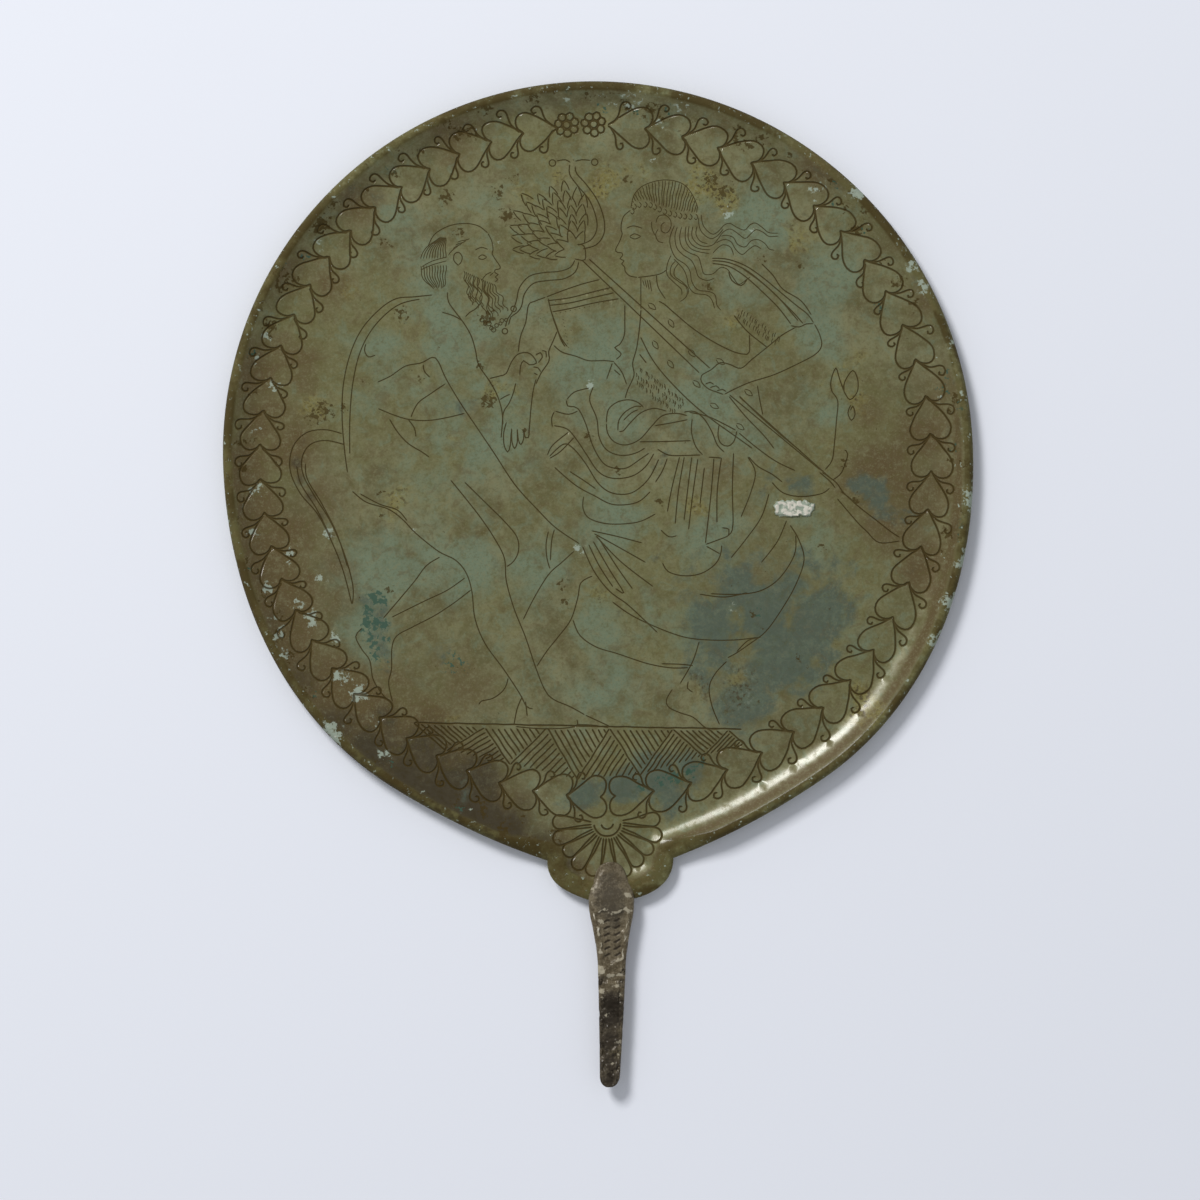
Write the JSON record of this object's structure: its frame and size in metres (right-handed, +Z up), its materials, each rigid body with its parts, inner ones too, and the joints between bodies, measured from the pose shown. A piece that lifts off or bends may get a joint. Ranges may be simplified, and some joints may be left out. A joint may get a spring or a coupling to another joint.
{
  "type": "etruscan hand mirror",
  "caption": "Flat round bronze hand mirror with a raised rim, a neck with rounded shoulders, a tapering tang, and an engraved back with an ivy wreath round a figure scene.",
  "frame": {"origin": "centre of the small flat spot in the middle of the reflecting side, on which the mirror lies", "axes": "+Z up out of the engraved side, +Y from the tang towards the top of the disc, +X to the right as the engraving is looked at"},
  "size_m": [0.1598, 0.2142, 0.005],
  "materials": {
    "bronze": "olive-brown patina with green, blue and cream stains, satin"
  },
  "bodies": {
    "root": {"mirror": "bronze"}
  },
  "joints": []
}
